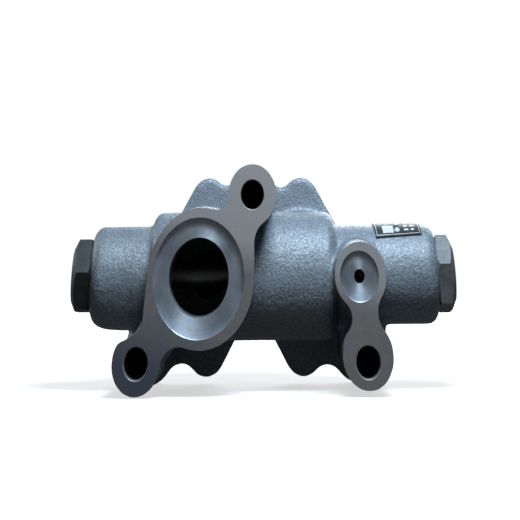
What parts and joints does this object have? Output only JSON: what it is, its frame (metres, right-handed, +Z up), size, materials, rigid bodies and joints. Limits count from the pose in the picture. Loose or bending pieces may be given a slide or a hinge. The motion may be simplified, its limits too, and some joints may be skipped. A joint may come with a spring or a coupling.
{
  "type": "relief valve",
  "caption": "Cast hydraulic relief valve with a spool across it, a hexagon plug at each end and an eared mounting face round a large port.",
  "frame": {"origin": "centre of the main port on the mounting face", "axes": "+X along the spool towards the pilot end, +Y from the mounting face into the body, +Z up towards the upper ear"},
  "size_m": [0.2965, 0.114, 0.1305],
  "materials": {
    "cast_iron": "sand cast with machined faces",
    "black_steel": "blackened steel",
    "zinc_steel": "dull plated steel",
    "ground_steel": "ground steel",
    "seal_rubber": "moulded rubber",
    "plate_metal": "dark printed plate"
  },
  "bodies": {
    "housing": {"valve_body": "cast_iron", "left_plug": "black_steel", "left_plug_seal": "seal_rubber", "right_plug": "zinc_steel", "right_plug_seal": "seal_rubber", "pilot_seat": "ground_steel", "pilot_seat_seal": "seal_rubber", "pilot_cage": "ground_steel", "spring_button": "ground_steel", "shims": "ground_steel", "nameplate": "plate_metal", "nameplate_pins": "ground_steel"},
    "spool": {"main_spool": "ground_steel", "damping_orifice": "ground_steel", "pilot_orifice": "ground_steel", "pilot_filter": "ground_steel", "main_spring": "ground_steel"},
    "poppet": {"pilot_poppet": "ground_steel", "poppet_spring_cap": "ground_steel", "pilot_spring": "ground_steel"}
  },
  "joints": [
    {"name": "spool_slide", "type": "slide", "parent": "housing", "child": "spool", "axis": [1, 0, 0], "range_m": [0, 0.008], "stiffness_N_per_m": 12000, "springref_m": -0.002, "deforming": ["main_spring"]},
    {"name": "poppet_lift", "type": "slide", "parent": "housing", "child": "poppet", "axis": [1, 0, 0], "range_m": [0, 0.0025], "stiffness_N_per_m": 3000, "springref_m": -0.0005, "deforming": ["pilot_spring"]}
  ]
}
